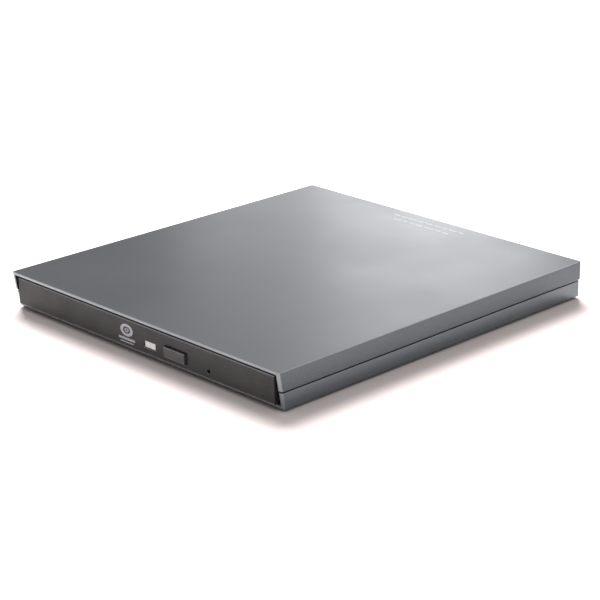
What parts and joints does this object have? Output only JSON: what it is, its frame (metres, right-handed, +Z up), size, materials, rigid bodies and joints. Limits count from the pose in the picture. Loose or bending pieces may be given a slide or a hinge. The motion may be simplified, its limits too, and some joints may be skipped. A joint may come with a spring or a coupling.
{
  "type": "external optical drive",
  "caption": "Slim portable optical disc drive: a flat two-shell case with a tray that slides out of the front on rails and a USB socket at the back.",
  "frame": {"origin": "centre of the bounding box, at its bottom: on the surface that the four feet stand on, below the middle of the case", "axes": "+Z up; +Y towards the rear, away from the tray's front panel; +X towards the right seen from the front"},
  "size_m": [0.137, 0.15, 0.014],
  "materials": {
    "shell_paint": "satin grey paint with a fine metallic flake, on moulded plastic",
    "bezel_plastic": "fine spark-eroded texture",
    "black_plastic": "moulded, lightly textured",
    "chip_epoxy": "matt moulded epoxy",
    "clear_plastic": "milky translucent",
    "sheet_steel": "rolled zinc-plated sheet",
    "bright_steel": "ground and polished",
    "rubber": "matt",
    "board": "solder mask on glass fibre",
    "flex": "white polyester ribbon",
    "cast_alloy": "die cast, matt",
    "lens_glass": "coated optical glass"
  },
  "bodies": {
    "chassis": {"upper_cover": "shell_paint", "lower_cover": "shell_paint", "foot_front_left": "rubber", "foot_front_right": "rubber", "foot_rear_left": "rubber", "foot_rear_right": "rubber", "cover_screw_front_left": "sheet_steel", "cover_screw_front_right": "sheet_steel", "cover_screw_rear_left": "sheet_steel", "cover_screw_rear_right": "sheet_steel", "drive_base": "sheet_steel", "drive_lid": "sheet_steel", "rail_guide_left": "black_plastic", "rail_guide_right": "black_plastic", "latch_post": "bright_steel", "rear_board": "board", "bridge_board": "board", "drive_plug": "black_plastic", "bridge_chip": "chip_epoxy", "usb_socket": "bright_steel", "flex_cable": "flex"},
    "tray": {"tray_frame": "black_plastic", "tray_bezel": "bezel_plastic", "light_guide": "clear_plastic", "main_board": "board", "controller_chip": "chip_epoxy", "flex_connector": "flex", "eject_switch": "sheet_steel", "solenoid": "cast_alloy", "traverse_frame": "cast_alloy", "traverse_cover": "sheet_steel", "damper_1": "rubber", "damper_2": "rubber", "damper_3": "rubber", "damper_screw_1": "bright_steel", "damper_screw_2": "bright_steel", "damper_screw_3": "bright_steel", "guide_shaft_main": "bright_steel", "guide_shaft_sub": "bright_steel", "stepper_motor": "sheet_steel", "lead_screw_bracket": "sheet_steel", "spindle_base": "sheet_steel", "spindle_stator": "cast_alloy"},
    "slide_rail_left": {"slide_rail_left": "sheet_steel"},
    "slide_rail_right": {"slide_rail_right": "sheet_steel"},
    "turntable": {"turntable": "black_plastic", "turntable_pad": "rubber", "spindle_rotor": "bright_steel", "chucking_ball_1": "bright_steel", "chucking_ball_2": "bright_steel", "chucking_ball_3": "bright_steel"},
    "sled": {"sled": "cast_alloy", "actuator_yoke": "sheet_steel"},
    "lens": {"lens_holder": "black_plastic", "objective_lens": "lens_glass"},
    "lead_screw": {"lead_screw": "bright_steel"},
    "eject_button": {"eject_button": "bezel_plastic"},
    "latch": {"latch_lever": "black_plastic"},
    "plunger": {"solenoid_plunger": "bright_steel"}
  },
  "joints": [
    {"name": "tray_slide", "type": "slide", "parent": "chassis", "child": "tray", "axis": [0, -1, 0], "range_m": [0, 0.124], "deforming": ["flex_cable"]},
    {"name": "left_rail_slide", "type": "slide", "parent": "chassis", "child": "slide_rail_left", "axis": [0, -1, 0], "range_m": [0, 0.062]},
    {"name": "right_rail_slide", "type": "slide", "parent": "chassis", "child": "slide_rail_right", "axis": [0, -1, 0], "range_m": [0, 0.062]},
    {"name": "disc_spin", "type": "hinge", "parent": "tray", "child": "turntable", "pos_m": [0, -0.009, 0.008], "axis": [0, 0, 1], "continuous": true},
    {"name": "sled_slide", "type": "slide", "parent": "tray", "child": "sled", "axis": [-0.7071, -0.7071, 0], "range_m": [0, 0.0335]},
    {"name": "lead_screw_turn", "type": "hinge", "parent": "tray", "child": "lead_screw", "pos_m": [-0.00884, -0.04259, 0.0055], "axis": [-0.7071, -0.7071, 0], "range_deg": [0, 4020]},
    {"name": "lens_focus", "type": "slide", "parent": "sled", "child": "lens", "axis": [0, 0, 1], "range_m": [-0.0004, 0.0004], "stiffness_N_per_m": 20},
    {"name": "eject_button_press", "type": "slide", "parent": "tray", "child": "eject_button", "axis": [0, 1, 0], "range_m": [0, 0.0008], "stiffness_N_per_m": 400},
    {"name": "latch_swing", "type": "hinge", "parent": "tray", "child": "latch", "pos_m": [0.052, -0.0664, 0.0048], "axis": [0, 0, 1], "range_deg": [0, 8]},
    {"name": "plunger_slide", "type": "slide", "parent": "tray", "child": "plunger", "axis": [-1, 0, 0], "range_m": [0, 0.00064], "stiffness_N_per_m": 60}
  ],
  "couplings": [
    {"joint": "left_rail_slide", "follows": "tray_slide", "ratio": 0.5},
    {"joint": "right_rail_slide", "follows": "tray_slide", "ratio": 0.5},
    {"joint": "lead_screw_turn", "follows": "sled_slide", "rad_per_m": 2094.4},
    {"joint": "latch_swing", "follows": "plunger_slide", "rad_per_m": 217.39}
  ]
}
